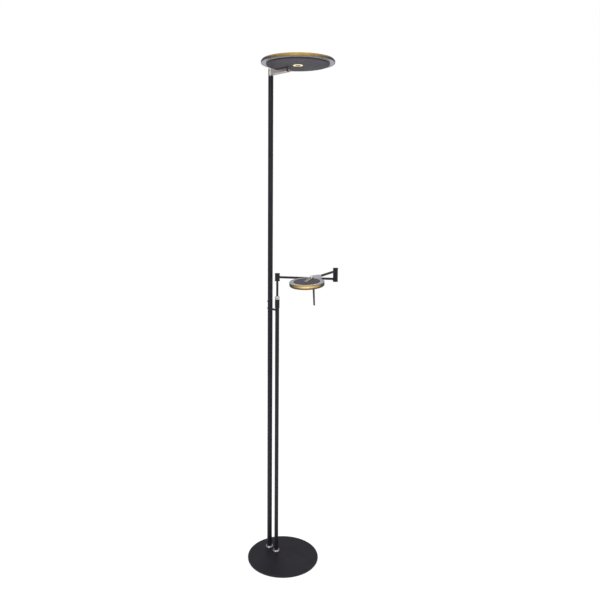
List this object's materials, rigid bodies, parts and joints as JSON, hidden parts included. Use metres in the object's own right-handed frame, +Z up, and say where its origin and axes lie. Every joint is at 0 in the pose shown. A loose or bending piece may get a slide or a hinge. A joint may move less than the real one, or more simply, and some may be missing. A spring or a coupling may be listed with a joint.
{
  "type": "floor lamp",
  "caption": "Tall black floor lamp with a round glass-rimmed uplighter that tilts and, on a shorter pole beside it, a reading light on a jointed swing arm.",
  "frame": {"origin": "centre of the round base's underside, on the floor", "axes": "+Z up along the poles, -Y to the front where the lamp heads reach out, +X to the right seen from the front"},
  "size_m": [0.3399, 0.4695, 1.99],
  "materials": {
    "foam_pad": "matt foam",
    "base_black": "satin powder coat",
    "rubber_black": "matt",
    "fastener_steel": "zinc plated",
    "chrome": "polished",
    "nylon": "matt",
    "pole_black": "satin powder coat",
    "fastener_black": "black oxide",
    "bracket_steel": "brushed",
    "housing_grey": "satin",
    "housing_dark": "satin",
    "board_white": "solder mask",
    "led_lens": "phosphor, lit warm white",
    "diffuser": "opal, lit warm white",
    "glass": "clear, polished rim",
    "light_ring": "opal, lit",
    "button_brass": "satin",
    "handle_grey": "satin"
  },
  "bodies": {
    "stand": {"base_pad": "foam_pad", "base_plate": "base_black", "cable_gland": "rubber_black", "pole_nipples": "fastener_steel", "base_washers": "fastener_steel", "base_nuts": "fastener_steel", "main_rosette": "chrome", "reading_rosette": "chrome", "main_pole_plug": "nylon", "reading_pole_plug": "nylon", "main_pole_lower": "pole_black", "main_pole_upper": "pole_black", "pole_coupler": "fastener_steel", "coupler_screw": "fastener_black", "bridge_bolt": "fastener_black", "bridge_spacer": "fastener_black", "bridge_insert": "fastener_steel", "reading_pole": "pole_black", "reading_sleeve": "pole_black", "rod_collet": "nylon", "pole_top_bush": "nylon"},
    "height_nut": {"clamp_nut": "chrome"},
    "mast": {"reading_rod": "pole_black", "shoulder_post": "pole_black", "shoulder_cap": "pole_black", "shoulder_screw": "fastener_black"},
    "lower_arm": {"shoulder_barrel": "pole_black", "lower_arm_tube": "pole_black", "elbow_barrel_lower": "pole_black", "elbow_cap_pin": "pole_black"},
    "upper_arm": {"elbow_barrel_upper": "pole_black", "upper_arm_tube": "pole_black", "reading_bracket": "bracket_steel", "reading_hinge_pin": "bracket_steel"},
    "reading_head": {"reading_fork": "bracket_steel", "reading_fork_screws": "fastener_steel", "reading_housing": "housing_grey", "reading_led_board": "board_white", "reading_leds": "led_lens", "reading_diffuser": "diffuser", "reading_glass": "glass", "reading_glass_screws": "fastener_steel", "reading_dimmer_ring": "light_ring", "reading_handle": "handle_grey", "handle_tip": "rubber_black"},
    "reading_button": {"reading_dimmer_button": "button_brass"},
    "uplighter_arm": {"top_spigot": "chrome", "top_arm": "bracket_steel", "top_hinge_pin": "bracket_steel"},
    "uplighter_head": {"top_fork": "bracket_steel", "top_fork_screws": "fastener_steel", "top_housing": "housing_dark", "top_led_board": "board_white", "top_leds": "led_lens", "top_diffuser": "diffuser", "top_glass": "glass", "top_glass_screws": "fastener_steel", "top_dimmer_ring": "light_ring"},
    "uplighter_button": {"top_dimmer_button": "button_brass"}
  },
  "joints": [
    {"name": "top_swivel", "type": "hinge", "parent": "stand", "child": "uplighter_arm", "pos_m": [0, 0.085, 1.96], "axis": [0, 0, 1], "range_deg": [-175, 175]},
    {"name": "top_tilt", "type": "hinge", "parent": "uplighter_arm", "child": "uplighter_head", "pos_m": [0, -0.023, 1.962], "axis": [1, 0, 0], "range_deg": [0, 80]},
    {"name": "top_dimmer_press", "type": "slide", "parent": "uplighter_head", "child": "uplighter_button", "axis": [0, 0, 1], "range_m": [0, 0.0008], "stiffness_N_per_m": 600, "springref_m": -0.0005},
    {"name": "clamp_turn", "type": "hinge", "parent": "stand", "child": "height_nut", "pos_m": [0, 0.042, 1.087], "axis": [0, 0, 1], "range_deg": [0, 180]},
    {"name": "reading_height", "type": "slide", "parent": "stand", "child": "mast", "axis": [0, 0, 1], "range_m": [-0.055, 0.2]},
    {"name": "shoulder_swing", "type": "hinge", "parent": "mast", "child": "lower_arm", "pos_m": [0, 0.042, 1.17], "axis": [0, 0, 1], "range_deg": [-180, 110]},
    {"name": "elbow_swing", "type": "hinge", "parent": "lower_arm", "child": "upper_arm", "pos_m": [0.138, -0.1445, 1.19], "axis": [0, 0, 1], "range_deg": [-40, 160]},
    {"name": "head_tilt", "type": "hinge", "parent": "upper_arm", "child": "reading_head", "pos_m": [-0.09179, -0.24298, 1.208], "axis": [0.3939, -0.9191, 0], "range_deg": [-80, 2]},
    {"name": "reading_dimmer_press", "type": "slide", "parent": "reading_head", "child": "reading_button", "axis": [-0.1152, -0.0494, 0.9921], "range_m": [0, 0.0008], "stiffness_N_per_m": 600, "springref_m": -0.0005}
  ]
}
